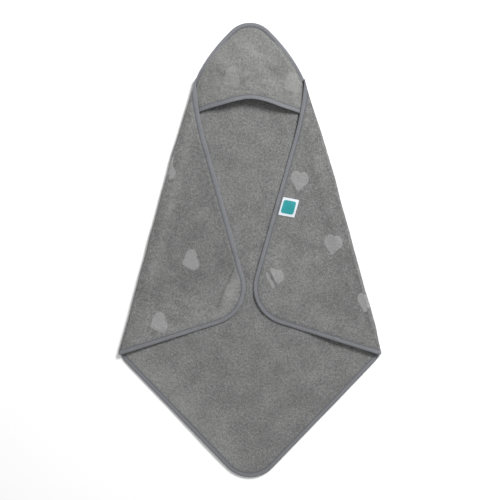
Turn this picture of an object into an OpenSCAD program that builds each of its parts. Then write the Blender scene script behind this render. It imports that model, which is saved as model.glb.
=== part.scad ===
// Hooded baby towel: one square of terry with a bound edge and a sewn hood across one corner.
// It lies flat, inner face up, with its two side corners folded over the middle.
// Millimetres. +Z is up, +Y runs from the foot corner to the hood corner and +X runs across.
// The origin is on the ground, under the middle of the laid towel.

/* [Outline] */
// Length of the laid towel, from foot corner to hood corner
laid_length = 1044; // [1000:1:1090]
// Half the width at the side folds, measured to their sharp corner
side_half_width = 303; // [295:1:312]
// Angle of the bound edges at the foot and the hood, from the X axis
edge_angle = 46; // [45:0.5:47]
// Lean of the side folds from the Y axis
fold_lean = 15.2; // [14.5:0.1:16]
// Radius of the hood corner
hood_corner_r = 62; // [40:1:80]
// Radius of the foot corner
foot_corner_r = 72; // [40:1:80]
// Radius that joins the hood's side to the side fold
hood_side_r = 380; // [200:10:390]
// Radius at the foot of each side fold
side_corner_r = 40; // [15:1:50]

/* [Cloth] */
// Thickness of one layer of terry
cloth = 3.2; // [2.5:0.1:4]
// Radius of the roll that the cloth makes at each side fold
roll_r = 6.3; // [5.5:0.1:7]
// Width of the finished binding
binding_w = 11; // [8:0.5:14]
// Thickness of the binding tape
tape = 0.8; // [0.4:0.1:1]
// Thickness of the sewing thread
thread = 0.4; // [0.2:0.1:0.6]
// Distance of the stitching from the bound edge
stitch_inset = 9.4; // [6:0.1:10]

/* [Side flaps] */
// Y at which the free edge of a flap leaves the fold
flap_head_y = 373; // [358:1:383]
// How far the sharp corner of a flap's tip reaches past the middle line
flap_tip_reach = 10; // [6:1:14]
// Y of that sharp corner
flap_tip_y = -144; // [-152:1:-132]
// Radius of a flap's tip
flap_tip_r = 88; // [60:1:95]
// Slope of a flap from its fold down to its tip
flap_slope = 1.14; // [0.9:0.02:1.14]

/* [Foot] */
// Y of the line where the foot folds over
foot_fold_y = -270; // [-282:1:-266]

/* [Hood] */
// Y of the middle of the hood's front edge
hood_front_y = 347; // [340:1:360]
// Y of the back of the hood panel, next to the corner binding
hood_back_y = 504; // [498:1:506]
// Half width of the hood panel at its back
hood_back_half = 25; // [15:1:30]
// Half width of the hood panel at its front edge
hood_front_half = 116; // [105:1:117]
// How far the ends of the front edge fall back towards the foot
hood_sag = 29; // [20:1:34]
// How high the middle of the front edge arches
hood_rise = 13; // [10:0.5:20]

/* [Label] */
// Width of the label, out from the binding
label_w = 37; // [30:1:45]
// Length of the label along the binding
label_l = 42; // [35:1:50]
// Thickness of the woven label
label_t = 0.8; // [0.4:0.1:1]
// Distance of the label's middle from the flap's tip, along the edge
label_from_tip = 255; // [200:1:300]
// Distance of the tape's overlapping end from the flap's tip, along the lower edge
join_from_tip = 216; // [180:1:250]
// Length of that overlap
join_l = 14; // [8:1:20]

/* [Hidden] */

TERRY = [0.49, 0.49, 0.48];
HOOD_TERRY = [0.56, 0.56, 0.55];
TAPE = [0.50, 0.51, 0.54];
THREAD = [0.42, 0.43, 0.46];
LABEL = [0.93, 0.94, 0.94];

arc_step = 5;
clearance = 0.3;
beyond = 700;

function unit(v) = v / norm(v);
function left_of(v) = [-v.y, v.x];
function turned(v, a) = [v.x * cos(a) - v.y * sin(a), v.x * sin(a) + v.y * cos(a)];

// Where two lines meet, each given by a point and a direction
function meet(p, u, q, v) = p + u * cross(q - p, v) / cross(u, v);

// Corners of an anticlockwise outline after side i has moved in by gaps[i]
function moved_in(corners, gaps) = [
    for (i = [0 : len(corners) - 1])
        let (
            n = len(corners),
            u = unit(corners[i] - corners[(i + n - 1) % n]),
            v = unit(corners[(i + 1) % n] - corners[i])
        )
        meet(
            corners[i] + left_of(u) * gaps[(i + n - 1) % n], u,
            corners[i] + left_of(v) * gaps[i], v
        )
];

// Points of an anticlockwise outline whose corner i is an arc of radius radii[i]
function rounded(corners, radii) = [
    for (i = [0 : len(corners) - 1])
        let (
            n = len(corners),
            u = unit(corners[(i + n - 1) % n] - corners[i]),
            v = unit(corners[(i + 1) % n] - corners[i]),
            half = acos(u * v) / 2,
            centre = corners[i] + unit(u + v) * radii[i] / sin(half),
            arm = corners[i] + u * radii[i] / tan(half) - centre,
            turn = 180 - 2 * half,
            steps = ceil(turn / arc_step)
        )
        each radii[i] > 0 ? [for (k = [0 : steps]) centre + turned(arm, turn * k / steps)] : [corners[i]]
];

// Sharp corners of the laid towel's outline
fold_dir = [-sin(fold_lean), -cos(fold_lean)];
foot_corner = [0, -laid_length / 2 - foot_corner_r * (1 / cos(edge_angle) - 1)];
hood_corner = [0, laid_length / 2 + hood_corner_r * (1 / cos(edge_angle) - 1)];
side_corner = [-side_half_width, foot_corner.y + side_half_width * tan(edge_angle)];
fold_head = meet(side_corner, fold_dir, hood_corner, [cos(edge_angle), sin(edge_angle)]);

// Sharp corners of the left flap, and the line that it turns about
flap_head = meet(side_corner, fold_dir, [0, flap_head_y], [1, 0]);
flap_tip = [flap_tip_reach, flap_tip_y];
hinge_foot = side_corner + left_of(fold_dir) * roll_r;
roll_start = 24;
roll_end = norm(flap_head - side_corner) - 4;
flap_z = 2 * roll_r - cloth;
label_stitch_inset = stitch_inset - 4 * thread;

function flipped(p) = [-p.x, p.y];

module slab(low, high) {
    translate([0, 0, low])
        linear_extrude(high - low)
            children();
}

// Outline of the laid towel, moved in along its bound edges and along its folds
module towel_outline(edge_gap, fold_gap) {
    corners = [
        foot_corner, flipped(side_corner), flipped(fold_head), hood_corner, fold_head, side_corner
    ];
    gaps = [edge_gap, fold_gap, edge_gap, edge_gap, fold_gap, edge_gap];
    radii = [foot_corner_r, side_corner_r, hood_side_r, hood_corner_r, hood_side_r, side_corner_r];
    polygon(rounded(moved_in(corners, gaps), [for (r = radii) r - edge_gap]));
}

// Outline of the left flap, moved in along its bound edges and along its fold
module flap_outline(edge_gap, fold_gap) {
    corners = [flap_head, side_corner, flap_tip];
    polygon(rounded(moved_in(corners, [fold_gap, edge_gap, edge_gap]), [0, 0, flap_tip_r - edge_gap]));
}

// Strip between two distances in from the towel's edge, uncut
module towel_band(outer, inner) {
    difference() {
        towel_outline(outer, outer);
        towel_outline(inner, inner);
    }
}

// Strip between two distances in from the left flap's bound edges
module flap_band(outer, inner) {
    difference() {
        flap_outline(outer, roll_r);
        flap_outline(inner, roll_r - 1);
    }
}

// Parts of the plan: the hood corner, the two short edges below the folds, and the foot
module hood_zone() translate([-beyond, flap_head_y + 2]) square([2 * beyond, beyond]);
module side_zone() translate([-beyond, foot_fold_y + clearance]) square([beyond, side_corner.y - 12 - foot_fold_y]);
module foot_zone() translate([-beyond, -beyond]) square([2 * beyond, beyond + foot_fold_y - clearance]);
module back_zone() translate([-beyond, foot_fold_y + clearance]) square([2 * beyond, 2 * beyond]);

// Bar along the left fold's turning line
module fold_bar(radius, start, end) {
    at = hinge_foot - fold_dir * start;
    translate([at.x, at.y, roll_r])
        rotate([90, 0, atan2(-fold_dir.y, -fold_dir.x) + 90])
            cylinder(h = end - start, r = radius, $fn = 48);
}

// Puts a child made on the ground where the left flap lies
module on_flap() {
    mid = flap_z + cloth / 2;
    translate([hinge_foot.x, hinge_foot.y, mid])
        rotate(a = -flap_slope, v = [fold_dir.x, fold_dir.y, 0])
            translate([-hinge_foot.x, -hinge_foot.y, -cloth / 2])
                children();
}

// Puts a child at a distance from the left flap's tip along a bound edge that ends at a corner;
// the child's X runs along the edge, away from the tip
module along_flap_edge(corner, distance) {
    way = unit(corner - flap_tip);
    at = flap_tip + way * distance;
    translate([at.x, at.y])
        rotate(atan2(way.y, way.x))
            children();
}

// Cloth whose bound edge is pressed thin inside the tape
module cloth_slab() {
    slab(0, cloth)
        children(0);
    slab(tape, cloth - tape)
        children(1);
}

module left_flap_cloth() {
    difference() {
        on_flap()
            cloth_slab() {
                flap_outline(binding_w, roll_r);
                flap_outline(tape, roll_r);
            }
        fold_bar(roll_r + 0.1, -50, roll_end + 50);
    }
}

module left_flap_tape() {
    difference() {
        on_flap()
            difference() {
                slab(0, cloth)
                    flap_band(0, binding_w);
                slab(tape, cloth - tape)
                    flap_outline(tape, roll_r - 1);
            }
        fold_bar(roll_r + 0.1, -50, roll_end + 50);
    }
}

module left_flap_thread() {
    on_flap()
        slab(cloth, cloth + thread)
            flap_band(stitch_inset, stitch_inset + 2 * thread);
}

// Tape, and the thread on it, along the part of the towel's edge inside a zone
module edge_tape() {
    difference() {
        slab(0, cloth)
            intersection() {
                towel_band(0, binding_w);
                children();
            }
        slab(tape, cloth - tape)
            towel_outline(tape, tape);
    }
}

module edge_thread() {
    slab(cloth, cloth + thread)
        intersection() {
            towel_band(stitch_inset, stitch_inset + 2 * thread);
            children();
        }
}

// The bound zones of the panel's edge: everything but the side folds
module bound_zones() {
    hood_zone();
    foot_zone();
    side_zone();
    mirror([1, 0])
        side_zone();
}

// Plan of the cloth at its full thickness, inside a zone
module full_cloth() {
    intersection() {
        difference() {
            towel_outline(0, roll_r);
            intersection() {
                towel_band(-1, binding_w);
                bound_zones();
            }
        }
        children();
    }
}

// Plan of the cloth with its pressed edge, inside a zone
module pressed_cloth() {
    intersection() {
        towel_outline(tape, roll_r);
        bound_zones();
        children();
    }
}

// Room for the rolls of the two side folds
module roll_room() {
    fold_bar(roll_r + clearance, roll_start - 8, roll_end + 3);
    mirror([1, 0, 0])
        fold_bar(roll_r + clearance, roll_start - 8, roll_end + 3);
}

// A point of the hood: u runs across from -1 to 1, v from the back to the front edge
function hood_point(u, v, lift) = [
    u * (hood_back_half + (hood_front_half - hood_back_half) * pow(v, 0.75)),
    hood_back_y + (hood_front_y - hood_back_y) * v - hood_sag * v * u * u,
    cloth + clearance + hood_rise * pow(v, 1.2) * (1 - u * u) + lift
];

// Closed skin of the hood between two stretches of v and two heights above its underside
module hood_skin(v0, v1, low, high, rows) {
    across = 20;
    wide = across + 1;
    sheet = wide * (rows + 1);
    function at(layer, i, j) = layer * sheet + j * wide + i;
    function quad(a, b, c, d) = [[a, b, c], [a, c, d]];
    points = [
        for (lift = [low, high], j = [0 : rows], i = [0 : across])
            hood_point(2 * i / across - 1, v0 + (v1 - v0) * j / rows, lift)
    ];
    faces = [
        for (i = [0 : across - 1], j = [0 : rows - 1]) each concat(
            quad(at(0, i, j), at(0, i, j + 1), at(0, i + 1, j + 1), at(0, i + 1, j)),
            quad(at(1, i, j), at(1, i + 1, j), at(1, i + 1, j + 1), at(1, i, j + 1))
        ),
        for (i = [0 : across - 1]) each concat(
            quad(at(0, i, 0), at(0, i + 1, 0), at(1, i + 1, 0), at(1, i, 0)),
            quad(at(0, i + 1, rows), at(0, i, rows), at(1, i, rows), at(1, i + 1, rows))
        ),
        for (j = [0 : rows - 1]) each concat(
            quad(at(0, 0, j + 1), at(0, 0, j), at(1, 0, j), at(1, 0, j + 1)),
            quad(at(0, across, j), at(0, across, j + 1), at(1, across, j + 1), at(1, across, j))
        )
    ];
    polyhedron(points, faces, convexity = 4);
}

hood_seam_v = 1 - binding_w / (hood_back_y - hood_front_y);
hood_stitch_v = 1 - stitch_inset / (hood_back_y - hood_front_y);
hood_thread_v = 2 * thread / (hood_back_y - hood_front_y);
// Gap under the hood's thread, whose flat faces don't follow those of the tape below it
hood_thread_gap = 0.06;

module back_panel() {
    color(TERRY)
        difference() {
            cloth_slab() {
                full_cloth()
                    back_zone();
                pressed_cloth()
                    back_zone();
            }
            roll_room();
        }
}

module foot_panel() {
    color(TERRY)
        cloth_slab() {
            full_cloth()
                foot_zone();
            pressed_cloth()
                foot_zone();
        }
}

module left_flap_panel() {
    color(TERRY)
        left_flap_cloth();
}

module right_flap_panel() {
    color(TERRY)
        mirror([1, 0, 0])
            left_flap_cloth();
}

module left_fold_roll() {
    color(TERRY)
        fold_bar(roll_r, roll_start, roll_end);
}

module right_fold_roll() {
    color(TERRY)
        mirror([1, 0, 0])
            fold_bar(roll_r, roll_start, roll_end);
}

module hood_panel() {
    color(HOOD_TERRY)
        hood_skin(0, hood_seam_v, 0, cloth, 10);
}

module hood_front_binding() {
    color(TAPE)
        hood_skin(hood_seam_v, 1, 0, cloth, 2);
}

module hood_front_stitching() {
    color(THREAD)
        hood_skin(
            hood_stitch_v, hood_stitch_v + hood_thread_v,
            cloth + hood_thread_gap, cloth + hood_thread_gap + thread, 1
        );
}

module hood_corner_binding() {
    color(TAPE)
        edge_tape()
            hood_zone();
}

module left_side_binding() {
    color(TAPE)
        edge_tape()
            side_zone();
}

module right_side_binding() {
    color(TAPE)
        mirror([1, 0, 0])
            edge_tape()
                side_zone();
}

module foot_binding() {
    color(TAPE)
        edge_tape()
            foot_zone();
}

module left_flap_binding() {
    color(TAPE)
        left_flap_tape();
}

module right_flap_binding() {
    color(TAPE)
        mirror([1, 0, 0])
            left_flap_tape();
}

module binding_join() {
    color(TAPE)
        mirror([1, 0, 0])
            on_flap()
                slab(cloth, cloth + tape)
                    along_flap_edge(side_corner, join_from_tip)
                        translate([-join_l / 2, 0])
                            square([join_l, stitch_inset]);
}

module care_label() {
    color(LABEL)
        mirror([1, 0, 0])
            on_flap()
                slab(cloth + clearance, cloth + clearance + label_t)
                    along_flap_edge(flap_head, label_from_tip)
                        translate([-label_l / 2, binding_w])
                            square([label_l, label_w]);
}

module hood_corner_stitching() {
    color(THREAD)
        edge_thread()
            hood_zone();
}

module left_side_stitching() {
    color(THREAD)
        edge_thread()
            side_zone();
}

module right_side_stitching() {
    color(THREAD)
        mirror([1, 0, 0])
            edge_thread()
                side_zone();
}

module foot_stitching() {
    color(THREAD)
        edge_thread()
            foot_zone();
}

module left_flap_stitching() {
    color(THREAD)
        left_flap_thread();
}

module right_flap_stitching() {
    color(THREAD)
        mirror([1, 0, 0])
            left_flap_thread();
}

// Thread that holds the label's sewn edge to the binding's inner edge
module label_stitching() {
    color(THREAD)
        mirror([1, 0, 0])
            on_flap()
                slab(cloth, cloth + thread)
                    along_flap_edge(flap_head, label_from_tip)
                        translate([-label_l / 2, label_stitch_inset])
                            square([label_l, 2 * thread]);
}

back_panel();
foot_panel();
left_flap_panel();
right_flap_panel();
left_fold_roll();
right_fold_roll();
hood_panel();
hood_front_binding();
hood_corner_binding();
left_side_binding();
right_side_binding();
foot_binding();
left_flap_binding();
right_flap_binding();
binding_join();
care_label();
hood_front_stitching();
hood_corner_stitching();
left_side_stitching();
right_side_stitching();
foot_stitching();
left_flap_stitching();
right_flap_stitching();
label_stitching();
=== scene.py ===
"""Hooded baby towel, laid flat with its two side corners folded over the middle.

Plan shapes are worked out in millimetres, as in the CAD model, and become metres when a mesh is made.
One square of terry is shown as a back, two flaps and two fold strips, because each moves differently.
The towel's inner face is up; the flaps, folded over, show its outer face, which has woven hearts.
"""
import math

import bpy
import numpy as np
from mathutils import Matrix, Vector
from mathutils.geometry import delaunay_2d_cdt
from mathutils.kdtree import KDTree


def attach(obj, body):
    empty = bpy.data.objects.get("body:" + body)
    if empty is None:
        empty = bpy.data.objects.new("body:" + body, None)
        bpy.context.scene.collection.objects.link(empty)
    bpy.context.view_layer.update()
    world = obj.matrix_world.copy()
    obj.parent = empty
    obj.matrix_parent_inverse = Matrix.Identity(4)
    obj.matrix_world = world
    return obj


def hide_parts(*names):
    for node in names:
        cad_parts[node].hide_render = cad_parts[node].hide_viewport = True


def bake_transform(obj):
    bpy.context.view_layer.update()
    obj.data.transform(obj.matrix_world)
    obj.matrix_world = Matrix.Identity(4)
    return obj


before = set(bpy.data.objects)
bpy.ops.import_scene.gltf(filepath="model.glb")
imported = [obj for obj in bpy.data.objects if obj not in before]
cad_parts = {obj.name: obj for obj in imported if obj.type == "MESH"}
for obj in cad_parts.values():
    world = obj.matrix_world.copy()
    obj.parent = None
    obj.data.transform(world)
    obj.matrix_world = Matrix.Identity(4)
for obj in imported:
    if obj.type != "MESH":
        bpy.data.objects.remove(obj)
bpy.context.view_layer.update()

# Laid outline
LENGTH = 1044.0
HALF_WIDTH = 303.0
EDGE_ANGLE = math.radians(46)
FOLD_LEAN = math.radians(15.2)
HOOD_CORNER_R = 62.0
FOOT_CORNER_R = 72.0
HOOD_SIDE_R = 380.0
SIDE_CORNER_R = 40.0

# Cloth, binding and thread
CLOTH = 3.2
HALF = CLOTH / 2
PRESSED = 0.7
ROLL_R = 6.3
BINDING = 11.0
STITCH_INSET = 9.2
STITCH_PITCH = 3.6
STITCH_FILL = 0.86
THREAD_ACROSS = 0.42
THREAD_UP = 0.34
CLEAR = 0.3

# Flaps, hood and label
TIP = (10.0, -144.0)
TIP_R = 88.0
FLAP_BOW = (-120.5, 316.5)
FLAP_BOW_R = 660.0
# Distance from a side fold over which a flap comes down to the back
FOLD_FALL = 52.0
# Ends of the crease at the left flap's tip, and how far the margin beside it stands up
TIP_CREASE = ((-35.0, -38.0), (-80.0, -140.0))
TIP_RISE = 6.0
# Highest that the middle of a flap lies, so that it rests on the floor, not under it, when it is opened
FLAP_CEILING = 13.2
HOOD_FRONT = 344.6
HOOD_BACK = 504.0
HOOD_SEWN_Y = 395.0
HOOD_SAG = 29.0
HOOD_SPAN = 116.0
HOOD_RISE = 20.5
# Power of the hood's front curve, and how round it is at its middle
HOOD_POWER = 0.78
HOOD_ROUND = 0.012
LABEL_W = 37.0
LABEL_L = 42.0
LABEL_FROM_TIP = 258.0
JOIN_FROM_TIP = 216.0

# Relief of the terry: its tufts, how far the hearts stand out, and its swell beside a seam
TUFT = 0.28
HEART_RISE = 0.5
SEAM_SWELL = 0.45

# Mesh cell of the faces that show, and the depth that means no heart is near
FINE = 2.4
NO_HEART = -50.0

MM = 0.001


def unit(v):
    v = np.asarray(v, float)
    return v / np.linalg.norm(v, axis=-1, keepdims=True)


def left_of(v):
    v = np.asarray(v, float)
    return np.stack([-v[..., 1], v[..., 0]], -1)


def cross(a, b):
    return a[0] * b[1] - a[1] * b[0]


def meet(p, u, q, v):
    """Where two lines meet, each given by a point and a direction."""
    return p + u * cross(q - p, v) / cross(u, v)


def smooth(x, low, high):
    """0 below low, 1 above high, and a soft step between."""
    t = np.clip((np.asarray(x, float) - low) / (high - low), 0, 1)
    return t * t * (3 - 2 * t)


def arc_at(corner, before, after, radius, step=math.radians(1.2)):
    """The arc that rounds a corner between two neighbours, as points."""
    corner = np.asarray(corner, float)
    u, v = unit(np.asarray(before) - corner), unit(np.asarray(after) - corner)
    half = math.acos(float(u @ v)) / 2
    centre = corner + unit(u + v) * radius / math.sin(half)
    arm = corner + u * radius / math.tan(half) - centre
    turn = math.copysign(math.pi - 2 * half, cross(-u, v))
    points = []
    for a in np.linspace(0, turn, max(3, int(abs(turn) / step) + 2)):
        c, s = math.cos(a), math.sin(a)
        points.append(centre + np.array([arm[0] * c - arm[1] * s, arm[0] * s + arm[1] * c]))
    return points


def rounded_path(corners, radii):
    """An open path through corners, with an arc at each inner one that has a radius."""
    points = [np.asarray(corners[0], float)]
    for i in range(1, len(corners) - 1):
        points += arc_at(corners[i], corners[i - 1], corners[i + 1], radii[i])
    return np.array(points + [np.asarray(corners[-1], float)])


def lengths(path):
    return np.concatenate([[0], np.cumsum(np.linalg.norm(np.diff(path, axis=0), axis=1))])


def spaced(path, step):
    """The path again, with its points about step apart."""
    along = lengths(path)
    count = max(2, int(round(along[-1] / step)) + 1)
    at = np.linspace(0, along[-1], count)
    return np.stack([np.interp(at, along, path[:, k]) for k in range(2)], -1)


def flipped(points):
    """The same points on the other side of the towel."""
    return np.asarray(points, float) * [-1, 1]


def polygon_area(ring):
    x, y = ring[:, 0], ring[:, 1]
    return abs(float(np.sum(x * np.roll(y, -1) - y * np.roll(x, -1)))) / 2


# ---------------- plan of the towel, left side

TAN, COS = math.tan(EDGE_ANGLE), math.cos(EDGE_ANGLE)
foot_corner = np.array([0, -LENGTH / 2 - FOOT_CORNER_R * (1 / COS - 1)])
hood_corner = np.array([0, LENGTH / 2 + HOOD_CORNER_R * (1 / COS - 1)])
side_corner = np.array([-HALF_WIDTH, foot_corner[1] + HALF_WIDTH * TAN])
UP_FOLD = np.array([math.sin(FOLD_LEAN), math.cos(FOLD_LEAN)])
INWARD = np.array([UP_FOLD[1], -UP_FOLD[0]])
fold_head = meet(side_corner, UP_FOLD, hood_corner, np.array([COS, math.sin(EDGE_ANGLE)]))
hinge_foot = side_corner + INWARD * ROLL_R


def along_hinge(points):
    """Distance up the left turning line."""
    return (np.asarray(points) - hinge_foot) @ UP_FOLD


def from_hinge(points):
    """Distance inward from the left turning line."""
    return (np.asarray(points) - hinge_foot) @ INWARD


def on_hinge(s):
    return hinge_foot + np.multiply.outer(np.asarray(s, float), UP_FOLD)


def cut_at_hinge(path):
    """The stretch of a path that lies inside the left turning line, ended exactly on it."""
    gap = from_hinge(path)
    kept = []
    for i in range(len(path)):
        if i and gap[i - 1] * gap[i] < 0:
            t = gap[i - 1] / (gap[i - 1] - gap[i])
            kept.append(path[i - 1] + (path[i] - path[i - 1]) * t)
        if gap[i] >= 0:
            kept.append(path[i])
    return np.array(kept)


left_foot_half = rounded_path(
    [side_corner + UP_FOLD * 60, side_corner, foot_corner, flipped(side_corner)],
    [0, SIDE_CORNER_R, FOOT_CORNER_R, 0],
)
left_foot_half = cut_at_hinge(left_foot_half[left_foot_half[:, 0] <= 1e-6])
left_hood_half = rounded_path(
    [flipped(fold_head), hood_corner, fold_head, side_corner],
    [0, HOOD_CORNER_R, HOOD_SIDE_R, 0],
)
left_hood_half = cut_at_hinge(left_hood_half[left_hood_half[:, 0] <= 1e-6])

S_FOOT = float(along_hinge(left_foot_half[0]))
S_HEAD = float(along_hinge(left_hood_half[-1]))


def flap_edge(right):
    """Bound edge of a flap, drawn on the left side. The right flap reaches a little further over."""
    reach = np.array([2.4 if right else 0.0, 0])
    return rounded_path(
        [on_hinge(S_FOOT), TIP + reach, FLAP_BOW + reach, on_hinge(S_HEAD)],
        [0, TIP_R, FLAP_BOW_R, 0],
    )


foot_edge = np.concatenate([left_foot_half, flipped(left_foot_half[::-1])[1:]])
hood_edge = np.concatenate([flipped(left_hood_half[::-1]), left_hood_half[1:]])

# How much of the turning line each end of the binding covers, on the back and on the flap
TURN_FOOT = (12.8, 13.1)
TURN_HEAD = (46.0, 34.0)


# ---------------- relief

def waves(x, y, size, seed, count=18, heading=None, spread=0.35):
    """Smooth random relief with a spread of about 1, from waves about size long.

    With a heading the crests run along it, as wrinkles do."""
    rng = np.random.default_rng(seed)
    total = np.zeros_like(np.asarray(x, float))
    for _ in range(count):
        turn = rng.uniform(0, math.tau)
        if heading is not None:
            turn = heading + math.pi / 2 + rng.normal(0, spread)
        k = math.tau / (size * rng.uniform(0.65, 1.6))
        phase = rng.uniform(0, math.tau)
        total += np.sin((x * math.cos(turn) + y * math.sin(turn)) * k + phase)
    return total / math.sqrt(count / 2)


def grain(x, y, seed):
    """Random height of each loop tuft, from -1 to 1, that depends only on its place."""
    h = np.sin(np.round(x, 2) * 12.9898 + np.round(y, 2) * 78.233 + seed * 37.7) * 43758.5453
    return 2 * (h - np.floor(h)) - 1


def clear_of_folds(x, y):
    """0 at the two turning lines and 1 well inside them."""
    p = np.stack([-np.abs(x), y], -1)
    inside = smooth(np.abs(from_hinge(p)), 0, 30)
    s = along_hinge(p)
    beyond = smooth(s, S_HEAD, S_HEAD + 25) + 1 - smooth(s, S_FOOT - 25, S_FOOT)
    return np.maximum(inside, beyond)


def back_lift(x, y):
    """How far the back's underside lies above the floor: more at the foot, and most at the hood's corner."""
    slow = 0.55 * waves(x, y, 210, 3) + 0.3 * waves(x, y, 75, 5)
    ends = 0.8 * smooth(-y, 250, 480) + 2.2 * smooth(y, HOOD_SEWN_Y, 440)
    return (1.1 + np.maximum(0, 0.4 + slow + ends)) * clear_of_folds(x, y)


def back_mid(x, y):
    return HALF + back_lift(x, y)


def hood_front_y(x):
    """Y of the hood's front edge: an arc, lower at its right end, whose ends turn up under the flaps."""
    past = np.maximum(np.abs(x) - HOOD_SPAN, 0)
    inner = np.minimum(np.abs(x), HOOD_SPAN)
    share = (inner / HOOD_SPAN) ** 2
    bend = ((share + HOOD_ROUND) ** HOOD_POWER - HOOD_ROUND**HOOD_POWER) * HOOD_SAG
    bend += 2.2 * np.sin(math.pi * inner / HOOD_SPAN) ** 2 + 3.8 * smooth(x, 30, 90)
    slope = 2 * HOOD_POWER * HOOD_SAG / HOOD_SPAN
    return HOOD_FRONT - bend - slope * past + 0.02 * past**2


def seam_gap(x, y):
    """Distance in from the towel's bound edge round the hood's corner."""
    flat = np.column_stack([-np.abs(np.ravel(x)), np.ravel(y)])
    return distance_to(flat, left_hood_half).reshape(np.shape(x))


def hood_mid(x, y):
    """Height of the middle of the hood's cloth over the back."""
    sewn = 1 - smooth(seam_gap(x, y), BINDING - 2, BINDING + 14)
    reach = np.clip((HOOD_BACK - y) / (HOOD_BACK - hood_front_y(x)), 0, 1.1)
    across = np.clip(1 - (x / (HOOD_SPAN + 4)) ** 2, 0, 1)
    arch = HOOD_RISE * reach**1.6 * across
    free = np.clip(reach * 1.6, 0, 1) * across
    soft = 1.7 * waves(x, y, 80, 11, heading=math.radians(-38)) + 0.5 * waves(x, y, 26, 12)
    tent = np.sqrt((soft + 1.8) ** 2 + 0.3) - 0.4
    layer = CLOTH + CLEAR
    lift = layer - (layer - 2 * PRESSED) * sewn * smooth(y, HOOD_SEWN_Y, 430)
    return back_mid(x, y) + lift + arch + free * np.maximum(tent, 0) * (1 - sewn)


def under_hood(x, y):
    """1 where the hood's ends lie between the back and a flap."""
    return smooth(y - hood_front_y(x), -45, -6)


def tip_ridge(x, y):
    """The left flap's tip: a crease, and a margin that stands up beside it."""
    start, end = np.array(TIP_CREASE)
    way = unit(end - start)
    p = np.stack([x, y], -1) - start
    along, beside = p @ way, p @ left_of(way)
    rise = TIP_RISE * smooth(beside, -3, 3) * np.exp(-np.maximum(beside, 0) / 24)
    return rise * smooth(along, -25, 30) * (1 - smooth(along, 80, 112))


def soft_cap(z, ceiling, width=0.6):
    """z, levelling off as it comes up to a ceiling."""
    return ceiling - width * np.logaddexp(0, (ceiling - z) / width)


def flap_mid(x, y, right):
    """Height of the middle of a flap's cloth; x and y are on the left side."""
    p = np.stack([x, y], -1)
    d, s = np.maximum(from_hinge(p), 0), along_hinge(p)
    # It lies on the back, and on the hood's ends, and rises to the top of the fold
    rest = back_mid(-x if right else x, y) + CLOTH + CLEAR + CLOTH * under_hood(x, y)
    fold = 2 * ROLL_R - HALF
    z = rest + (fold - rest) * np.exp(-((d / FOLD_FALL) ** 2))
    seed = 30 if right else 20
    slack = 0.5 + 0.75 * waves(x, y, 120, seed) + 0.35 * waves(x, y, 45, seed + 1)
    z += smooth(d, 0, 45) * np.maximum(0, slack)
    # Its lower edge stands up near the fold, and a soft swell runs beside the fold
    lift = 4.6 if right else 3.2
    z += lift * smooth(d, 0, 20) * (1 - smooth(d, 80, 165)) * (1 - smooth(foot_gap(p), 5, 75))
    along_fold = smooth(s, 20, 80) * (1 - smooth(s, S_HEAD - 200, S_HEAD - 60))
    z += 2.3 * np.exp(-(((d - 24) / 13) ** 2)) * along_fold
    if right:
        z += 1.6 * spot(p, (-50, -110), (40, 34)) + 1.4 * crease(flipped(p))
    else:
        z += tip_ridge(x, y)
    return soft_cap(z, FLAP_CEILING)


def foot_gap(p):
    """Distance in from the flap's lower edge, taken as a straight line."""
    way = unit(np.array(TIP) - on_hinge(S_FOOT))
    return (p - on_hinge(S_FOOT)) @ left_of(way)


# ---------------- painted light and shade
# Painted light and shade on the terry's top: 1 where it is painted brighter, as a highlight, -1 where it is
# painted darker, as shade

def spot(p, at, size, turn=0.0):
    """1 at a place, fading over a size along and across a direction."""
    c, s = math.cos(turn), math.sin(turn)
    along, beside = (p - np.array(at)) @ np.array([c, s]), (p - np.array(at)) @ np.array([-s, c])
    return np.exp(-((along / size[0]) ** 2) - (beside / size[1]) ** 2)


# Painted highlight: the back is painted brighter along the left part of the foot's bound edge
def back_painted_highlight(p):
    by_edge = 1 - smooth(distance_to(p, left_foot_half), 20, 110)
    return 0.8 * by_edge * smooth(-p[:, 0], 0, 60)


# Painted light and shade on the left flap: brighter near its lower edge and darker elsewhere, a painted
# highlight in a band beside the fold, and a painted highlight on the raised margin beside the tip's crease
def left_flap_painted_light(p):
    low = 1 - smooth(foot_gap(p), 20, 150)
    band = np.exp(-(((from_hinge(p) - 20) / 11) ** 2)) * smooth(along_hinge(p), 120, 220)
    return 0.9 * low - 0.4 + 0.7 * band + 1.4 * spot(p, (-42, -99), (44, 13), math.radians(66))


# Painted shade on the right flap: darker beside its fold, and a dark line along its crease
def right_flap_painted_shade(p):
    left = flipped(p)
    s = along_hinge(left)
    by_fold = np.exp(-np.maximum(from_hinge(left), 0) / 26) * smooth(s, 10, 90) * (1 - smooth(s, 130, 330))
    return -1.1 * by_fold - 0.8 * crease(p)


def crease(p):
    """A short crease in the right flap, which runs across one heart."""
    return spot(p, (51, -63), (19, 3.6), math.radians(-64))


# Painted light and shade on the hood: a painted highlight along a diagonal wrinkle and at one spot, and a
# painted shade patch to its right
def hood_painted_light(p):
    streak = spot(p, (8, 456), (46, 9), math.radians(-34))
    return 0.8 * streak + 0.5 * spot(p, (46, 437), (20, 12)) - 0.9 * spot(p, (66, 410), (20, 13))


# ---------------- woven hearts

HEART_PITCH = 153.5
HEART_AT = (268.0, 36.0)
HEART_TURN = math.radians(130)
HEART_SIZE = 44.0
HEART_ROUND = 2.0
# The pile draws the hearts a little longer along the towel than across it
HEART_DRAW = (0.94, 1.12)
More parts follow.
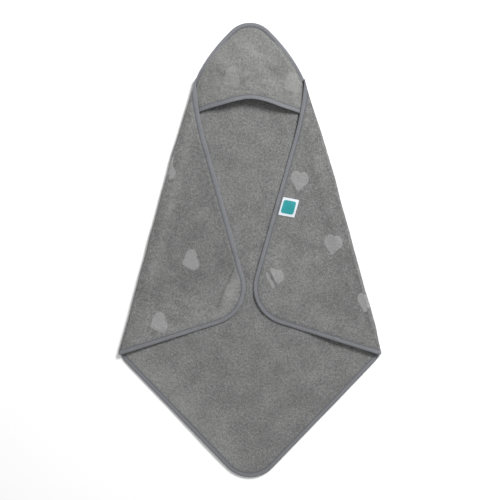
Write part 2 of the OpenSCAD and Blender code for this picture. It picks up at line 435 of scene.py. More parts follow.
# Hearts that show on the left and the right flap as they lie, and on the hood
LEFT_HEARTS = [(-138, -25), (-211, -168), (-192, 184)]
RIGHT_HEARTS = [(113, 157), (190, 11), (56, -66), (266, -121)]
HOOD_HEARTS = [(95, 380), (-45, 391)]
HOOD_HEART_TURN = math.radians(30)
# Turning the cloth over the left or right fold mirrors the direction of its hearts
HEART_TURN_LEFT = math.pi - 2 * FOLD_LEAN - HEART_TURN
HEART_TURN_RIGHT = math.pi + 2 * FOLD_LEAN - HEART_TURN


def heart_depth(px, py):
    """Distance inside a heart whose point is below the middle; negative outside it."""
    k = (HEART_SIZE - 2 * HEART_ROUND) / 1.2
    x, y = np.abs(px) / k, py / k + 0.55
    lobe = np.hypot(x - 0.25, y - 0.75) - math.sqrt(2) / 4
    m = 0.5 * np.maximum(x + y, 0)
    lower = np.minimum(x**2 + (y - 1) ** 2, (x - m) ** 2 + (y - m) ** 2)
    point = np.sqrt(lower) * np.sign(x - y)
    return HEART_ROUND - k * np.where(x + y > 1, lobe, point)


def heart_frame(dx, dy, turn):
    """Depth inside a heart whose axis is turned, at offsets from its middle."""
    a = math.pi / 2 - turn
    dx, dy = dx / HEART_DRAW[0], dy / HEART_DRAW[1]
    return heart_depth(dx * math.cos(a) - dy * math.sin(a), dx * math.sin(a) + dy * math.cos(a))


def heart_near(p, middles, turn):
    """Depth inside the nearest of some hearts."""
    return np.max([heart_frame(p[:, 0] - x, p[:, 1] - y, turn) for x, y in middles], axis=0)


def unfolded(p):
    """Left flap points turned back over the fold, in the plan of the flat towel."""
    d = p - side_corner
    return side_corner + 2 * (d @ UP_FOLD)[:, None] * UP_FOLD - d


def hearts(x, y):
    """Depth inside the nearest heart of the woven pattern, at points of the unfolded towel.

    The hearts are in square rows, but folding draws the ones on the flaps a little aside."""
    shown = np.concatenate([
        unfolded(np.array(LEFT_HEARTS, float)),
        flipped(unfolded(flipped(RIGHT_HEARTS))),
    ])
    col, row = np.round((x - HEART_AT[0]) / HEART_PITCH), np.round((y - HEART_AT[1]) / HEART_PITCH)
    dx, dy = x - HEART_AT[0] - col * HEART_PITCH, y - HEART_AT[1] - row * HEART_PITCH
    for at in shown:
        cell = np.round((at - HEART_AT) / HEART_PITCH)
        off = at - HEART_AT - cell * HEART_PITCH
        here = (col == cell[0]) & (row == cell[1])
        dx, dy = np.where(here, dx - off[0], dx), np.where(here, dy - off[1], dy)
    return heart_frame(dx, dy, HEART_TURN)


# ---------------- meshes

def make_mesh(name, points, faces, smooth_angle=50):
    """A mesh object from points in millimetres and faces, shaded smooth up to an angle."""
    mesh = bpy.data.meshes.new(name)
    mesh.from_pydata((np.asarray(points) * MM).tolist(), [], [tuple(int(i) for i in f) for f in faces])
    mesh.validate()
    mesh.shade_smooth()
    mesh.set_sharp_from_angle(angle=math.radians(smooth_angle))
    obj = bpy.data.objects.new(name, mesh)
    bpy.context.scene.collection.objects.link(obj)
    return obj


def set_value(obj, name, values):
    layer = obj.data.attributes.new(name, "FLOAT", "POINT")
    layer.data.foreach_set("value", np.asarray(values, np.float32))


def set_vector(obj, name, values):
    layer = obj.data.attributes.new(name, "FLOAT_VECTOR", "POINT")
    layer.data.foreach_set("vector", np.asarray(values, np.float32).ravel())


def distance_to(points, path):
    """Distance from each point to a path."""
    dense = spaced(path, 0.6)
    tree = KDTree(len(dense))
    for i, (x, y) in enumerate(dense):
        tree.insert((x, y, 0), i)
    tree.balance()
    return np.array([tree.find((x, y, 0))[2] for x, y in points])


def closed_path(ring):
    return np.concatenate([ring, ring[:1]])


def inside(points, ring):
    """Whether each point is inside a closed ring."""
    x, y = points[:, 0], points[:, 1]
    found = np.zeros(len(points), bool)
    a, b = ring, np.roll(ring, -1, 0)
    for (ax, ay), (bx, by) in zip(a, b):
        if ay == by:
            continue
        hit = (ay > y) != (by > y)
        found ^= hit & (x < (bx - ax) * (y - ay) / (by - ay) + ax)
    return found


def filled(ring, cell):
    """Points of a ring and a triangular grid inside it, with the triangles between them."""
    low, high = ring.min(0), ring.max(0)
    rows = []
    for j, y in enumerate(np.arange(low[1], high[1], cell * math.sqrt(3) / 2)):
        x = np.arange(low[0] + (j % 2) * cell / 2, high[0], cell)
        rows.append(np.stack([x, np.full_like(x, y)], -1))
    grid = np.concatenate(rows)
    grid = grid[inside(grid, ring)]
    grid = grid[distance_to(grid, closed_path(ring)) > 0.55 * cell]
    points = np.concatenate([ring, grid])
    edges = [(i, (i + 1) % len(ring)) for i in range(len(ring))]
    found = delaunay_2d_cdt([Vector(p) for p in points], edges, [], 0, 1e-7, False)
    triangles = np.array(found[2])
    a, b, c = (points[triangles[:, k]] for k in range(3))
    triangles = triangles[np.abs(cross((b - a).T, (c - a).T)) > 1e-3]
    return points, triangles[inside(points[triangles].mean(1), ring)]


def ring_of(*paths):
    """A closed anticlockwise ring from paths laid end to end, without doubled points."""
    return np.concatenate([spaced(p, FINE)[:-1] for p in paths])


def shell_faces(top_faces, low_faces, base, count):
    """Faces of a closed sheet: top, underside and the band round it. The underside's points start at base."""
    faces = [tuple(f) for f in top_faces] + [tuple(f[::-1] + base) for f in low_faces]
    return faces + [(i, i + base, (i + 1) % count + base, (i + 1) % count) for i in range(count)]


def cloth(name, ring, mid, edge, under_cell, cell=FINE, seed=1, top_heart=None, under_heart=None, painted_shading=None):
    """A closed sheet of terry over a ring. mid gives its middle height at plan points.

    It is pressed thin where edge, a list of bound paths, is within the binding's width. The heart
    functions give the depth inside each face's woven hearts, and the last function gives the painted
    highlights and shade laid on the top."""
    top, top_faces = filled(ring, cell)
    low, low_faces = filled(ring, under_cell)
    sheets = []
    for points, sign, heart in ((top, 1, top_heart), (low, -1, under_heart)):
        x, y = points[:, 0], points[:, 1]
        thick = np.full(len(points), HALF)
        free = np.ones(len(points))
        for path in edge:
            d = distance_to(points, path)
            thick = np.minimum(thick, PRESSED + (HALF - PRESSED) * smooth(d, BINDING - 2, BINDING + 5))
            free = np.minimum(free, smooth(d, BINDING - 1, BINDING + 4))
            thick += SEAM_SWELL * np.exp(-(((d - BINDING - 5) / 5) ** 2))
        depth = heart(points) if heart else np.full(len(points), NO_HEART)
        z = mid(x, y) + sign * thick
        z += sign * free * TUFT * grain(x, y, seed) * clear_of_ring(points, ring)
        z += sign * HEART_RISE * smooth(depth, -1.2, 1.2) * clear_of_ring(points, ring)
        z = np.maximum(z, 0)
        sheets.append((np.column_stack([x, y, z]), depth))
    points = np.concatenate([s[0] for s in sheets])
    depth = np.concatenate([s[1] for s in sheets])
    obj = make_mesh(name, points, shell_faces(top_faces, low_faces, len(top), len(ring)))
    set_value(obj, "heart", depth)
    set_vector(obj, "cloth", points)
    if painted_shading:
        set_value(obj, "painted_shading", np.concatenate([painted_shading(top), low[:, 0] * 0]))
    return obj


def clear_of_ring(points, ring):
    return smooth(distance_to(points, closed_path(ring)), 0, 3)


# The binding's section: distance in from the edge, and share of the half thickness above or below
TAPE_TOP = [
    (0.0, 0.0), (0.15, 0.42), (0.7, 0.8), (1.8, 1.02), (3.6, 1.12), (5.6, 1.12),
    (7.4, 1.04), (8.5, 0.92), (9.2, 0.84), (9.9, 0.95), (10.6, 0.98), (11.0, 0.8),
]
TAPE_INSIDE = [(11.0, 0.42), (8.0, 0.46), (3.0, 0.5), (1.0, 0.3)]


def tape_section():
    """Closed section of the binding, as pairs of distance in and signed share."""
    upper = TAPE_TOP + TAPE_INSIDE
    lower = [(d, -h) for d, h in reversed(upper[1:])]
    return np.array(upper + [(0.9, 0.0)] + lower)


def swept(name, rings):
    """A tube of quads through rings of equally many points, capped at both ends."""
    rings = np.asarray(rings)
    count, wide = rings.shape[:2]
    faces = []
    for i in range(count - 1):
        for k in range(wide):
            m = (k + 1) % wide
            faces.append((i * wide + k, i * wide + m, (i + 1) * wide + m, (i + 1) * wide + k))
    faces.append(tuple(range(wide))[::-1])
    faces.append(tuple(range((count - 1) * wide, count * wide)))
    return make_mesh(name, rings.reshape(-1, 3), faces, 60)


def tape(name, path, mid, start=None, end=None, shear=0.0, over=None, step=FINE, grow=0.0):
    """Binding folded over a bound edge.

    start and end are the vectors along which its end sections lie, for one unit of width, where it
    meets a fold, and shear is the length over which they turn. over gives what its top side is
    raised by, where it binds two layers, and grow is how much bigger it is than the usual binding."""
    path = spaced(path, step)
    along = lengths(path)
    way = unit(np.gradient(path, axis=0))
    inward = left_of(way)
    wobble = 0.28 * waves(along, along * 0, 34, len(name))
    for vector, far in ((start, along), (end, along[-1] - along)):
        if vector is not None:
            share = (1 - smooth(far, 0, shear))[:, None]
            inward = inward * (1 - share) + np.asarray(vector) * share
            wobble = wobble * smooth(far, 0, 20)
    section = tape_section()
    rings = []
    for i, p in enumerate(path):
        d = section[:, 0] + wobble[i] * np.minimum(section[:, 0], 4) / 11
        d = np.where(section[:, 0] < 1, d - grow, d)
        plan = p + inward[i] * d[:, None]
        x, y = plan[:, 0], plan[:, 1]
        rise = over(x, y) * (section[:, 1] > 0) if over else 0
        z = mid(x, y) + section[:, 1] * (HALF + grow * np.abs(section[:, 1])) + rise * section[:, 1]
        rings.append(np.column_stack([x, y, np.maximum(z, 0)]))
    obj = swept(name, rings[::-1])
    widths = np.tile(section[:, 0], len(path))
    runs = np.repeat(along[::-1], len(section))
    set_vector(obj, "cloth", np.column_stack([runs, widths, np.tile(section[:, 1] * 2, len(path))]))
    return obj


def roll_share(s, right):
    """How far the fold bulges at a place along the turning line, as a share of a full roll."""
    return np.clip(fold_outline(s, right) / ROLL_R, 0.16, 1.5)


def fold_outline(s, right):
    """Distance of the towel's outline outside the turning line."""
    half = (math.pi / 2 + FOLD_LEAN + EDGE_ANGLE) / 2
    past_foot = np.maximum(SIDE_CORNER_R / math.tan(half) - s, 0)
    foot = SIDE_CORNER_R - np.sqrt(np.maximum(SIDE_CORNER_R**2 - past_foot**2, 0))
    head = smooth(s, S_HEAD - 190, S_HEAD + 10)
    slack = (2.4 if right else -1.6) * np.exp(-(((s - 78) / 42) ** 2))
    slack += 1.5 * right * smooth(s, 20, 140)
    uneven = 0.45 * waves(s, s * 0, 90, 8 + right) * smooth(s, 10, 60) * (1 - head)
    return (ROLL_R + slack) * (1 - head) - foot + uneven


def wrapped(s, angle, radius, right):
    """A point of the roll: s up the turning line, angle from its underside round to its top."""
    plan = on_hinge(s) - INWARD * (radius * np.sin(angle) * roll_share(s, right))[..., None]
    z = np.maximum(ROLL_R - radius * np.cos(angle), 0)
    return np.concatenate([plan, z[..., None]], -1)


ROLL_MID = ROLL_R - HALF
TURN_STEPS = 16


def mirrored(points, right):
    """Points of the left side, on the right one if asked."""
    return points * np.array([-1, 1, 1]) if right else points


def fold_cloth(name, right):
    """The cloth that turns round at a side fold, from the back up to the flap.

    Its rings run the other way on the left, so that the faces look outward on both sides."""
    angles = np.linspace(0, math.pi, TURN_STEPS)
    lows = S_FOOT + np.interp(angles, [0, math.pi], TURN_FOOT) - 3
    highs = S_HEAD - np.interp(angles, [0, math.pi], TURN_HEAD) + 3
    count = int((S_HEAD - S_FOOT) / FINE)
    share = np.linspace(0, 1, count)
    s = lows[:, None] + (highs - lows)[:, None] * share[None, :]
    a = np.repeat(angles[:, None], count, 1)
    ends = np.minimum(s - lows[:, None], highs[:, None] - s)
    half = PRESSED + (HALF - PRESSED) * smooth(ends, 1, 9)
    still = smooth(a, 0, 0.5) * smooth(math.pi - a, 0, 0.5)
    tufts = 0.26 * grain(s, a * 20, 4) * still * smooth(ends, 3, 9)
    past = 2 * ROLL_R * (a / math.pi - 0.5)
    flat = side_corner + UP_FOLD * s[..., None] - INWARD * past[..., None]
    depth = hearts(-flat[..., 0] if right else flat[..., 0], flat[..., 1])
    outer = wrapped(s, a, ROLL_MID + half + tufts + HEART_RISE * smooth(depth, -1.2, 1.2) * still, right)
    inner = wrapped(s, a, ROLL_MID - half, right)
    rings = np.concatenate([outer, inner[:, ::-1]], 1)
    depth = np.concatenate([depth, np.full_like(depth, NO_HEART)], 1)
    order = 1 if right else -1
    obj = swept(name, mirrored(rings, right)[::order])
    # The depths run against the rings, so the hearts are mirrored from the strip's top edge to its underside
    set_value(obj, "heart", depth[::-order].ravel())
    set_vector(obj, "cloth", np.array([v.co for v in obj.data.vertices]) / MM)
    return obj


def fold_tape(name, right, at_head):
    """The binding where it turns round at one end of a side fold."""
    angles = np.linspace(0, math.pi, TURN_STEPS)
    section = tape_section()
    cover = np.interp(angles, [0, math.pi], TURN_HEAD if at_head else TURN_FOOT)
    edge, sign = (S_HEAD, -1) if at_head else (S_FOOT, 1)
    s = edge + sign * cover[:, None] * section[None, :, 0] / BINDING
    a = np.repeat(angles[:, None], len(section), 1)
    rings = wrapped(s, a, ROLL_MID - section[None, :, 1] * HALF, right)
    order = 1 if right == at_head else -1
    obj = swept(name, mirrored(rings, right)[::order])
    widths = np.tile(section[:, 0], len(angles))
    set_vector(obj, "cloth", np.column_stack([s.ravel(), widths, a.ravel() * 5]))
    return obj


# One stitch: place along it as a share of its length, girth and rise of its middle line
BEAD = np.array([
    (-0.5, 0.55, -0.45), (-0.36, 0.9, 0.05), (0, 1, 0.2), (0.36, 0.9, 0.05), (0.5, 0.55, -0.45),
])
BEAD_SIDES = 6
# Height of the stitches as a share of the half thickness, and the lowest that their middle line lies
SEAM_SHARE = 0.86
LOWEST_STITCH = 0.35


def stitches(name, path, mid, skip, sides=(1, -1), inset=STITCH_INSET, over=None):
    """A row of separate stitches along a bound path, on its top side, its underside or both.

    skip is the length left bare at each end, and over what the top side is raised by."""
    path = spaced(path, 0.6)
    along = lengths(path)
    way = unit(np.gradient(path, axis=0))
    seam = path + left_of(way) * inset
    middles = np.arange(skip, along[-1] - skip, STITCH_PITCH)
    at = middles[:, None] + BEAD[:, 0] * STITCH_PITCH * STITCH_FILL
    x, y, dx, dy = (np.interp(at, along, v[:, k]) for v in (seam, way) for k in range(2))
    turn = np.arange(BEAD_SIDES) * math.tau / BEAD_SIDES
    out = np.cos(turn) * THREAD_ACROSS * BEAD[:, 1:2]
    up = np.sin(turn) * THREAD_UP * BEAD[:, 1:2]
    rows = []
    for side in sides:
        lift = over(x, y) if over and side > 0 else 0
        z = np.maximum(mid(x, y) + side * (HALF * SEAM_SHARE + BEAD[:, 2] + lift), LOWEST_STITCH)
        flat_x, flat_y = x[..., None] - dy[..., None] * out, y[..., None] + dx[..., None] * out
        rows.append(np.stack([flat_x, flat_y, z[..., None] + up], -1))
    rows = np.concatenate(rows)
    size = len(BEAD) * BEAD_SIDES
    one = []
    for r in range(len(BEAD) - 1):
        for k in range(BEAD_SIDES):
            a, b = r * BEAD_SIDES + k, r * BEAD_SIDES + (k + 1) % BEAD_SIDES
            one.append((a, b, b + BEAD_SIDES, a + BEAD_SIDES))
    one.append(tuple(range(BEAD_SIDES))[::-1])
    one.append(tuple(range(size - BEAD_SIDES, size)))
    faces = [tuple(i + base for i in f) for base in range(0, len(rows) * size, size) for f in one]
    return make_mesh(name, rows.reshape(-1, 3), faces, 80)


# ---------------- materials

def srgb(*levels):
    """Linear colour from display levels 0 to 255."""
    return [((c / 255 + 0.055) / 1.055) ** 2.4 if c > 10 else c / 255 / 12.92 for c in levels] + [1]


class Nodes:
    """A short way to add and join shader nodes."""

    def __init__(self, name):
        self.material = bpy.data.materials.new(name)
        self.material.use_nodes = True
        self.tree = self.material.node_tree
        self.shader = self.tree.nodes["Principled BSDF"]

    def add(self, kind, inputs=None, **settings):
        node = self.tree.nodes.new(kind)
        for key, value in settings.items():
            setattr(node, key, value)
        for key, value in (inputs or {}).items():
            if isinstance(value, bpy.types.NodeSocket):
                self.tree.links.new(value, node.inputs[key])
            else:
                node.inputs[key].default_value = value
        return node

    def math(self, operation, a, b):
        return self.add("ShaderNodeMath", {0: a, 1: b}, operation=operation).outputs[0]

    def total(self, *terms):
        """The sum of some outputs, each times its own factor."""
        scaled = [self.math("MULTIPLY", output, factor) for output, factor in terms]
        result = scaled[0]
        for term in scaled[1:]:
            result = self.math("ADD", result, term)
        return result

    def mix(self, factor, a, b):
        """A colour between a and b."""
        return self.add("ShaderNodeMix", {0: factor, 6: a, 7: b}, data_type="RGBA").outputs[2]

    def step(self, value, low, high, to_low=0.0, to_high=1.0):
        """A soft step from one level to another."""
        inputs = {"Value": value, "From Min": low, "From Max": high, "To Min": to_low, "To Max": to_high}
        return self.add("ShaderNodeMapRange", inputs, interpolation_type="SMOOTHSTEP").outputs[0]

    def link(self, output, key):
        self.tree.links.new(output, self.shader.inputs[key])


def terry(name, dark, light, heart, woven_share):
    """Looped terry: tufts a few millimetres apart, soft random patches, painted highlights and shade from a
    point attribute, and paler hearts.
    """
    n = Nodes(name)
    place = n.add("ShaderNodeAttribute", attribute_name="cloth").outputs["Vector"]
    tufts = n.add("ShaderNodeTexVoronoi", {"Vector": place, "Scale": 0.46, "Randomness": 0.9})
    fine = n.add("ShaderNodeTexNoise", {"Vector": place, "Scale": 0.9, "Detail": 4.0, "Roughness": 0.65})
    clumps = n.add("ShaderNodeTexNoise", {"Vector": place, "Scale": 0.19, "Detail": 3.0, "Roughness": 0.6})
    patches = n.add("ShaderNodeTexNoise", {"Vector": place, "Scale": 0.022, "Detail": 3.0, "Roughness": 0.55})
    # Painted highlights and shade, stored on each point, brighten or darken the terry's colour
    painted_shading = n.add("ShaderNodeAttribute", attribute_name="painted_shading").outputs["Fac"]
    value = n.total(
        (fine.outputs["Fac"], 0.66), (clumps.outputs["Fac"], 0.36), (patches.outputs["Fac"], 0.18),
        (tufts.outputs["Distance"], -0.16), (painted_shading, 0.08),
    )
    colour = n.mix(n.step(value, 0.36, 0.74), dark, light)
    depth = n.add("ShaderNodeAttribute", attribute_name="heart").outputs["Fac"]
    ragged = n.math("ADD", depth, n.math("MULTIPLY", n.math("SUBTRACT", fine.outputs["Fac"], 0.5), 5.0))
    woven = n.step(ragged, -0.7, 0.7)
    heart_tone = n.mix(n.math("MULTIPLY", woven, woven_share), colour, heart)
    n.link(heart_tone, "Base Color")
    height = n.total(
        (fine.outputs["Fac"], 1.3), (tufts.outputs["Distance"], -1.0), (clumps.outputs["Fac"], 0.8),
    )
    strength = n.step(woven, 0.0, 1.0, 0.75, 0.42)
    bump = n.add("ShaderNodeBump", {"Height": height, "Strength": strength, "Distance": 0.0011})
    n.link(bump.outputs["Normal"], "Normal")
    n.shader.inputs["Roughness"].default_value = 0.95
    n.shader.inputs["Specular IOR Level"].default_value = 0.15
    n.shader.inputs["Sheen Weight"].default_value = 0.12
    n.shader.inputs["Sheen Roughness"].default_value = 0.6
    return n.material


def woven_tape(name, dark, light):
    """Bias tape: a fine plain weave set on the diagonal, with painted shade in the crease along its stitches.
    """
    n = Nodes(name)
    place = n.add("ShaderNodeAttribute", attribute_name="cloth").outputs["Vector"]
    turned = n.add("ShaderNodeMapping", {"Vector": place, "Rotation": (0, 0, math.radians(45))}).outputs[0]
    warp = n.add("ShaderNodeTexWave", {"Vector": turned, "Scale": 0.62, "Distortion": 0.6, "Detail": 1.0})
    weft = n.add("ShaderNodeTexWave", {"Vector": turned, "Scale": 0.62, "Distortion": 0.6, "Detail": 1.0},
                 bands_direction="Y")
    fibres = n.add("ShaderNodeTexNoise", {"Vector": place, "Scale": 0.5, "Detail": 4.0})
    weave = n.math("MULTIPLY", warp.outputs["Fac"], weft.outputs["Fac"])
    value = n.total((weave, 0.35), (fibres.outputs["Fac"], 0.8))
    width = n.add("ShaderNodeSeparateXYZ", {"Vector": place}).outputs["Y"]
    # Painted shade: the tape is darkened from just outside its stitch line to its inner edge, for the shadow
    # in the crease there
    seam = n.math("MULTIPLY", n.step(width, STITCH_INSET - 1.2, STITCH_INSET - 0.4), 0.42)
    cloth_tone = n.mix(n.step(value, 0.25, 0.8), dark, light)
    n.link(n.mix(seam, cloth_tone, srgb(60, 61, 66)), "Base Color")
    bump = n.add("ShaderNodeBump", {"Height": weave, "Strength": 0.5, "Distance": 0.0003})
    n.link(bump.outputs["Normal"], "Normal")
    n.shader.inputs["Roughness"].default_value = 0.72
    n.shader.inputs["Specular IOR Level"].default_value = 0.35
    n.shader.inputs["Sheen Weight"].default_value = 0.1
    return n.material


def thread(name, colour, pale):
    """Twisted polyester thread."""
    n = Nodes(name)
    place = n.add("ShaderNodeTexCoord").outputs["Object"]
    twist = n.add("ShaderNodeTexWave", {"Vector": place, "Scale": 900.0, "Distortion": 1.5},
                  bands_direction="DIAGONAL")
    n.link(n.mix(twist.outputs["Fac"], colour, pale), "Base Color")
    bump = n.add("ShaderNodeBump", {"Height": twist.outputs["Fac"], "Strength": 0.4, "Distance": 0.0001})
    n.link(bump.outputs["Normal"], "Normal")
    n.shader.inputs["Roughness"].default_value = 0.6
    return n.material


def satin(name, colour, shade):
    """Woven label satin, with fine ribs along it."""
    n = Nodes(name)
    place = n.add("ShaderNodeAttribute", attribute_name="cloth").outputs["Vector"]
    ribs = n.add("ShaderNodeTexWave", {"Vector": place, "Scale": 0.7, "Distortion": 0.3, "Detail": 1.0},
                 bands_direction="Y")
    floats = n.add("ShaderNodeTexNoise", {"Vector": place, "Scale": 1.2, "Detail": 3.0})
    value = n.total((ribs.outputs["Fac"], 0.3), (floats.outputs["Fac"], 0.6))
    n.link(n.mix(n.step(value, 0.2, 0.75), shade, colour), "Base Color")
    bump = n.add("ShaderNodeBump", {"Height": value, "Strength": 0.35, "Distance": 0.00025})
    n.link(bump.outputs["Normal"], "Normal")
    n.shader.inputs["Roughness"].default_value = 0.5
    n.shader.inputs["Sheen Weight"].default_value = 0.15
    return n.material


TERRY = terry("grey_terry", srgb(87, 87, 87), srgb(140, 140, 139), srgb(155, 155, 155), 0.45)
HOOD_TERRY = terry("hood_terry", srgb(96, 96, 95), srgb(142, 142, 140), srgb(150, 150, 149), 0.22)
TAPE = woven_tape("grey_bias_tape", srgb(97, 98, 102), srgb(125, 126, 131))
THREAD = thread("grey_thread", srgb(76, 77, 82), srgb(100, 101, 106))
LABEL = satin("white_satin", srgb(214, 219, 224), srgb(188, 196, 204))
PATCH = satin("teal_satin", srgb(22, 150, 152), srgb(12, 118, 124))


def dressed(obj, material):
    obj.data.materials.append(material)
    return obj


# ---------------- pieces


def bend_foot(obj):
    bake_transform(obj)


def bend_fold(obj):
    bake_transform(obj)


def bend_hood(obj):
    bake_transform(obj)


def side_name(right):
    return "right" if right else "left"


def flap_height(right):
    """Middle height of a flap at true plan points."""
    return lambda x, y: flap_mid(-np.abs(x), y, right)


def make_back():
    """The back and the foot, in one sheet, and its outline."""
    ring = ring_of(inset_path(foot_edge, 1.0), right_hinge(), inset_path(hood_edge, 1.0), left_hinge())
    obj = cloth("towel_cloth", ring, back_mid, edge=[foot_edge, hood_edge], under_cell=5.0, seed=1,
                under_heart=lambda p: hearts(p[:, 0], p[:, 1]), painted_shading=back_painted_highlight)
    dressed(obj, TERRY)
    bend_foot(obj)
    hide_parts("back_panel", "foot_panel")
    return obj, ring


def left_hinge():
    """The left turning line, with a hair's gap so that an opened flap doesn't cut into the back."""
    return np.array([on_hinge(S_HEAD), on_hinge(S_FOOT)]) + INWARD * 0.15


def right_hinge():
    return flipped(left_hinge()[::-1])


def inset_path(path, gap, taper=20.0):
    """A path moved inward by a gap that shrinks to nothing over a taper at each end, if there is one."""
    along = lengths(path)
    share = np.clip(np.minimum(along, along[-1] - along) / taper, 0, 1) if taper else np.ones(len(path))
    return path + left_of(unit(np.gradient(path, axis=0))) * (gap * share)[:, None]


def make_flap(right):
    """A flap's cloth, its bound path and its area."""
    edge = spaced(flap_edge(right), FINE)
    ring = ring_of(inset_path(edge, 1.0), left_hinge())
    shown, turn = (RIGHT_HEARTS, HEART_TURN_RIGHT) if right else (LEFT_HEARTS, HEART_TURN_LEFT)

    def heart(p):
        """Depth inside the flap's hearts. The right flap's crease hides a strip of one."""
        return heart_near(p, shown, turn) - 24 * right * crease(p)

    path = edge
    if right:
        ring, path = flipped(ring[::-1]), flipped(edge[::-1])
    name = side_name(right)
    obj = cloth(f"{name}_flap_cloth", ring, flap_height(right), edge=[path], under_cell=3.6, cell=2.1,
                seed=5 + right, top_heart=heart, painted_shading=right_flap_painted_shade if right else left_flap_painted_light)
    dressed(obj, TERRY)
    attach(obj, f"{name}_flap")
    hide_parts(f"{name}_flap_panel")
    return obj, path, polygon_area(ring)


def hood_front(right, count, up, clear):
    """One side of the hood's front edge, drawn on the left and moved up, as far as the middle."""
    x = np.linspace(-200, 0, count)
    front = np.column_stack([x, hood_front_y(-x if right else x) + up])
    return front[from_hinge(front) > clear]


def hood_ring(right):
    """Outline of one half of the hood panel, up to the middle line."""
    seam = inset_path(spaced(left_hood_half, FINE), 7.6, taper=0)
    seam[0, 0] = 0
    seam = seam[from_hinge(seam) > 2.5]
    front = hood_front(right, 400, 1.2, 2.5)
    side = np.array([seam[-1], front[0]])
    middle = np.array([front[-1], seam[0]])
    ring = ring_of(seam, side, front, middle)
    return flipped(ring[::-1]) if right else ring


def hood_front_path(right):
    """The path of the hood's front binding, with the panel to its left."""
    front = hood_front(right, 500, 0, 2.0)
    return flipped(front[::-1]) if right else front


def hood_heart(p):
    return heart_near(p, HOOD_HEARTS, HOOD_HEART_TURN)


def make_hood(right):
    """One half of the hood, with its front binding and stitches."""
    name = side_name(right)
    ring = hood_ring(right)
    front = hood_front_path(right)
    seam = flipped(left_hood_half) if right else left_hood_half
    obj = cloth(f"hood_{name}_cloth", ring, hood_mid, edge=[front, seam], cell=2.1, under_cell=4.0,
                seed=9, top_heart=hood_heart, painted_shading=hood_painted_light)
    dressed(obj, HOOD_TERRY)
    bend_hood(obj)
    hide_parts("hood_panel")
    binding = tape(f"hood_{name}_front_tape", front, hood_mid)
    dressed(binding, TAPE)
    bend_hood(binding)
    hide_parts("hood_front_binding")
    sewing = stitches(f"hood_{name}_front_stitches", front, hood_mid, skip=1.8)
    dressed(sewing, THREAD)
    bend_hood(sewing)
    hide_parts("hood_front_stitching")
    return obj, polygon_area(ring)


def two_layers(x, y):
    """How much higher the corner binding's top is, because it binds the hood as well."""
    return 1.7 * smooth(y, HOOD_SEWN_Y, 440) * np.ones_like(x)


def make_bound_edges():
    """The binding and stitches of the back's two free edges, at the foot and round the hood's corner."""
    start, end = UP_FOLD * TURN_FOOT[0] / BINDING, UP_FOLD * [-1, 1] * TURN_FOOT[0] / BINDING
    obj = tape("foot_tape", foot_edge, back_mid, start=start, end=end, shear=30)
    dressed(obj, TAPE)
    bend_foot(obj)
    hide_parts("foot_binding", "left_side_binding", "right_side_binding")
    sewing = stitches("foot_stitches", foot_edge, back_mid, skip=16)
    dressed(sewing, THREAD)
    bend_foot(sewing)
    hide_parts("foot_stitching", "left_side_stitching", "right_side_stitching")

    down = -UP_FOLD * TURN_HEAD[0] / BINDING
    obj = tape("hood_corner_tape", hood_edge, back_mid, start=down * [-1, 1], end=down, shear=120,
               over=two_layers)
    dressed(obj, TAPE)
    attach(obj, "towel")
    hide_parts("hood_corner_binding")
    sewing = stitches("hood_corner_stitches", hood_edge, back_mid, skip=70, over=two_layers)
    dressed(sewing, THREAD)
    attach(sewing, "towel")
    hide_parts("hood_corner_stitching")


def make_side(right):
    """One flap and its side fold, with their binding and stitches."""
    name = side_name(right)
    body = f"{name}_flap"
    flap, path, area = make_flap(right)
    fold = fold_cloth(f"{name}_fold_cloth", right)
    dressed(fold, TERRY)
    bend_fold(fold)
    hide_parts(f"{name}_fold_roll")
    for at_head, end in ((True, "head"), (False, "foot")):
        turn = fold_tape(f"{name}_fold_{end}_tape", right, at_head)
        dressed(turn, TAPE)
        bend_fold(turn)
    foot_vector = UP_FOLD * TURN_FOOT[1] / BINDING
    head_vector = -UP_FOLD * TURN_HEAD[1] / BINDING
    if right:
        start, end = head_vector * [-1, 1], foot_vector * [-1, 1]
    else:
        start, end = foot_vector, head_vector
    binding = tape(f"{name}_flap_tape", path, flap_height(right), start=start, end=end, shear=90)
    dressed(binding, TAPE)
    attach(binding, body)
    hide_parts(f"{name}_flap_binding")
    sewing = stitches(f"{name}_flap_stitches", path, flap_height(right), skip=36)
    dressed(sewing, THREAD)
    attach(sewing, body)
    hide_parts(f"{name}_flap_stitching")
    return flap, fold, area


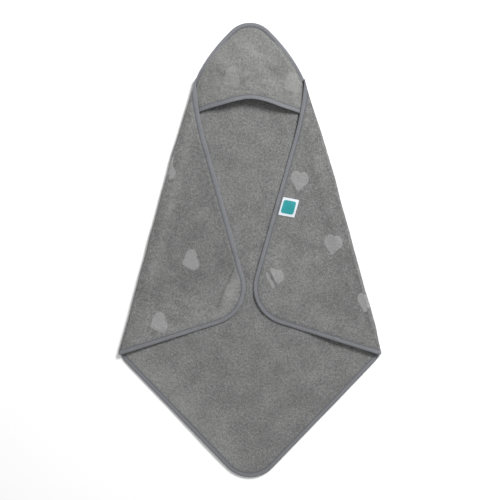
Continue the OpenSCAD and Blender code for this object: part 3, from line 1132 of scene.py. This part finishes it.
def make_label():
    """The woven label on the right flap, its plain coloured patch and its row of stitches."""
    straight = unit(np.array(FLAP_BOW) - np.array(TIP))
    centre = np.array(TIP) + straight * LABEL_FROM_TIP
    centre, up = flipped(centre), straight * [-1, 1]
    out = np.array([up[1], -up[0]])
    surface = flap_height(True)

    def place(a, b, lift):
        """a across from the sewn edge, b along it."""
        skew = a * 0.085
        p = centre + np.multiply.outer(a + BINDING - 0.4, out) + np.multiply.outer(b + skew, up)
        curl = 1.5 * (a / LABEL_W) ** 2 + 0.5 * np.sin(b / LABEL_L * 5 + 1) * (a / LABEL_W)
        z = surface(p[..., 0], p[..., 1]) + HALF + 0.25 + curl + lift
        return np.concatenate([p, z[..., None]], -1)

    def plate(name, half_w, half_l, middle, radius, low, high, cell):
        ring = rounded_ring(half_w, half_l, radius, cell) + [middle, 0]
        points, faces = filled(ring, cell)
        both = np.concatenate([place(*points.T, high), place(*points.T, low)])
        obj = make_mesh(name, both, shell_faces(faces, faces, len(points), len(ring)))
        flat = np.column_stack([points, points[:, 0] * 0])
        set_vector(obj, "cloth", np.concatenate([flat, flat]))
        return obj

    label = plate("care_label_cloth", LABEL_W / 2, LABEL_L / 2, LABEL_W / 2, 0.6, 0.0, 0.6, 1.4)
    dressed(label, LABEL)
    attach(label, "label")
    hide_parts("care_label")
    patch = plate("care_label_patch", 14.5, 15.5, LABEL_W / 2 - 0.5, 5.0, 0.5, 0.85, 1.2)
    dressed(patch, PATCH)
    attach(patch, "label")

    seam = np.array([centre + up * (LABEL_L / 2), centre - up * (LABEL_L / 2)])
    sewing = stitches("care_label_stitches", seam, surface, sides=(1,), inset=BINDING - 3.2, skip=1.5)
    dressed(sewing, THREAD)
    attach(sewing, "right_flap")
    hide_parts("label_stitching")
    return label


def rounded_ring(half_w, half_l, radius, step):
    """A closed rectangle with round corners, about its middle."""
    corners = [(-half_w, -half_l), (half_w, -half_l), (half_w, half_l), (-half_w, half_l)]
    points = []
    for i in range(4):
        points += arc_at(corners[i], corners[i - 1], corners[(i + 1) % 4], radius, math.radians(20))
    points.append(points[0])
    return spaced(np.array(points), step)[:-1]


def make_join():
    """Where the tape's own end laps over its start, on the right flap's lower edge."""
    way = unit(on_hinge(S_FOOT) - np.array(TIP))
    at = np.array(TIP) + way * JOIN_FROM_TIP
    path = flipped(np.array([at - way * 6, at + way * 8]))
    obj = tape("tape_join", path, flap_height(True), step=1.0, grow=1.0)
    dressed(obj, TAPE)
    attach(obj, "right_flap")
    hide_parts("binding_join")


def make_towel():
    back, ring = make_back()
    make_bound_edges()
    sheets = [make_side(right) for right in (False, True)]
    hoods = [make_hood(right) for right in (False, True)]
    label = make_label()
    make_join()


# ---------------- camera, floor and light

def make_camera():
    data = bpy.data.cameras.new("camera")
    data.sensor_width = 36
    high, view = 3.2, 1.15
    data.lens = 36 * high / view
    camera = bpy.data.objects.new("camera", data)
    camera.location = (0, 0, high)
    bpy.context.scene.collection.objects.link(camera)
    bpy.context.scene.camera = camera


def make_floor():
    mesh = bpy.data.meshes.new("floor")
    mesh.from_pydata([(-8, -8, 0), (8, -8, 0), (8, 8, 0), (-8, 8, 0)], [], [(0, 1, 2, 3)])
    floor = bpy.data.objects.new("floor", mesh)
    floor.location.z = -0.0003
    bpy.context.scene.collection.objects.link(floor)
    n = Nodes("white_floor")
    n.shader.inputs["Base Color"].default_value = (0.93, 0.93, 0.93, 1)
    n.shader.inputs["Roughness"].default_value = 0.9
    mesh.materials.append(n.material)


def make_light():
    scene = bpy.context.scene
    scene.view_settings.view_transform = "Standard"
    world = bpy.data.worlds.new("studio")
    world.use_nodes = True
    background = world.node_tree.nodes["Background"]
    background.inputs["Color"].default_value = (1, 1, 1, 1)
    background.inputs["Strength"].default_value = 0.56
    scene.world = world
    key = bpy.data.lights.new("key", "AREA")
    key.shape = "DISK"
    key.size = 1.1
    key.energy = 122
    light = bpy.data.objects.new("key", key)
    aim = Vector((math.cos(math.radians(52)), math.sin(math.radians(52)), 0.9)).normalized()
    light.location = aim * 3.2
    light.rotation_euler = aim.to_track_quat("Z", "Y").to_euler()
    scene.collection.objects.link(light)


make_camera()
make_towel()
make_floor()
make_light()
